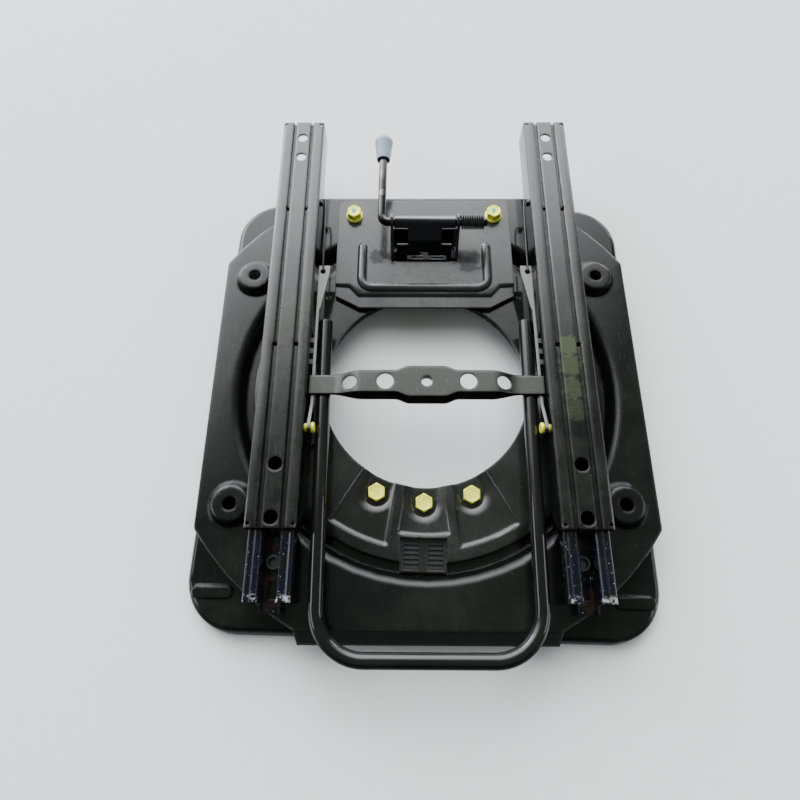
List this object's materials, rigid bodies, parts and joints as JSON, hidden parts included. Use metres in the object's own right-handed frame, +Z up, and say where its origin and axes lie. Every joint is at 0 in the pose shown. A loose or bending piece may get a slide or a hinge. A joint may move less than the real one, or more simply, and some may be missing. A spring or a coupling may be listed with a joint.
{
  "type": "seat swivel base",
  "caption": "Vehicle seat swivel base: pressed base plate, turning plate on a bolted ring, lock lever, and seat slides with a towel-bar release handle.",
  "frame": {"origin": "centre of the bounding box's bottom face, on the floor under the base plate", "axes": "+Y along the seat slides towards the seat's rear, +X to the right as seen in the picture, +Z up along the swivel axis"},
  "size_m": [0.462, 0.5843, 0.0936],
  "materials": {
    "black_paint": "gloss black e-coat on pressed steel",
    "yellow_zinc": "yellow zinc plated steel",
    "black_oxide": "oiled black steel",
    "spring_steel": "dark spring wire",
    "grey_plastic": "moulded grey plastic with a light texture",
    "glide_plastic": "greased black plastic",
    "black_rubber": "ribbed black rubber",
    "ball_steel": "greased bearing steel"
  },
  "bodies": {
    "base": {"base_plate": "black_paint", "retaining_ring": "black_paint", "ring_bolt_1": "yellow_zinc", "ring_bolt_2": "yellow_zinc", "ring_bolt_3": "yellow_zinc", "ring_bolt_4": "yellow_zinc", "ring_bolt_5": "yellow_zinc", "ring_bolt_6": "yellow_zinc", "glide_ring_lower": "glide_plastic", "glide_ring_upper": "glide_plastic", "lock_pad_front_left": "black_rubber", "lock_pad_front_right": "black_rubber", "lock_pad_rear_left": "black_rubber", "lock_pad_rear_right": "black_rubber"},
    "turntable": {"upper_plate": "black_paint", "lock_plate": "black_paint", "lever_spring": "spring_steel", "lower_rail_left": "black_paint", "lock_plate_bolt_left": "yellow_zinc", "rail_nut_front_left": "black_oxide", "rail_nut_rear_left": "black_oxide", "rail_screw_front_left": "black_oxide", "rail_screw_rear_left": "black_oxide", "lower_rail_right": "black_paint", "lock_plate_bolt_right": "yellow_zinc", "rail_nut_front_right": "black_oxide", "rail_nut_rear_right": "black_oxide", "rail_screw_front_right": "black_oxide", "rail_screw_rear_right": "black_oxide"},
    "lock_lever": {"lock_rod": "black_paint", "lock_tongue": "black_paint", "lever_knob": "grey_plastic"},
    "slider": {"upper_rail_left": "black_paint", "upper_rail_right": "black_paint", "pivot_pin_left": "yellow_zinc", "pivot_pin_right": "yellow_zinc", "return_spring_left": "spring_steel", "return_spring_right": "spring_steel"},
    "ball_cages": {"ball_cage_left_inner": "ball_steel", "ball_cage_left_outer": "ball_steel", "ball_cage_right_inner": "ball_steel", "ball_cage_right_outer": "ball_steel"},
    "release_bar": {"towel_bar": "black_paint", "cross_strap": "black_paint", "latch_lever_left": "black_paint", "latch_lever_right": "black_paint"}
  },
  "joints": [
    {"name": "seat_swivel", "type": "hinge", "parent": "base", "child": "turntable", "pos_m": [0, -0.02535, 0.038], "axis": [0, 0, 1], "range_deg": [0, 180]},
    {"name": "lock_lever_turn", "type": "hinge", "parent": "turntable", "child": "lock_lever", "pos_m": [0, 0.15025, 0.073], "axis": [-1, 0, 0], "range_deg": [0, 18], "stiffness_Nm_per_rad": 0.6, "springref_deg": -20.05},
    {"name": "seat_slide", "type": "slide", "parent": "turntable", "child": "slider", "axis": [0, 1, 0], "range_m": [-0.19, 0.05]},
    {"name": "cage_slide", "type": "slide", "parent": "turntable", "child": "ball_cages", "axis": [0, 1, 0], "range_m": [-0.095, 0.025]},
    {"name": "release_bar_lift", "type": "hinge", "parent": "slider", "child": "release_bar", "pos_m": [0, -0.08135, 0.064], "axis": [-1, 0, 0], "range_deg": [0, 5], "stiffness_Nm_per_rad": 3, "springref_deg": -5.73}
  ],
  "couplings": [
    {"joint": "cage_slide", "follows": "seat_slide", "ratio": 0.5}
  ]
}
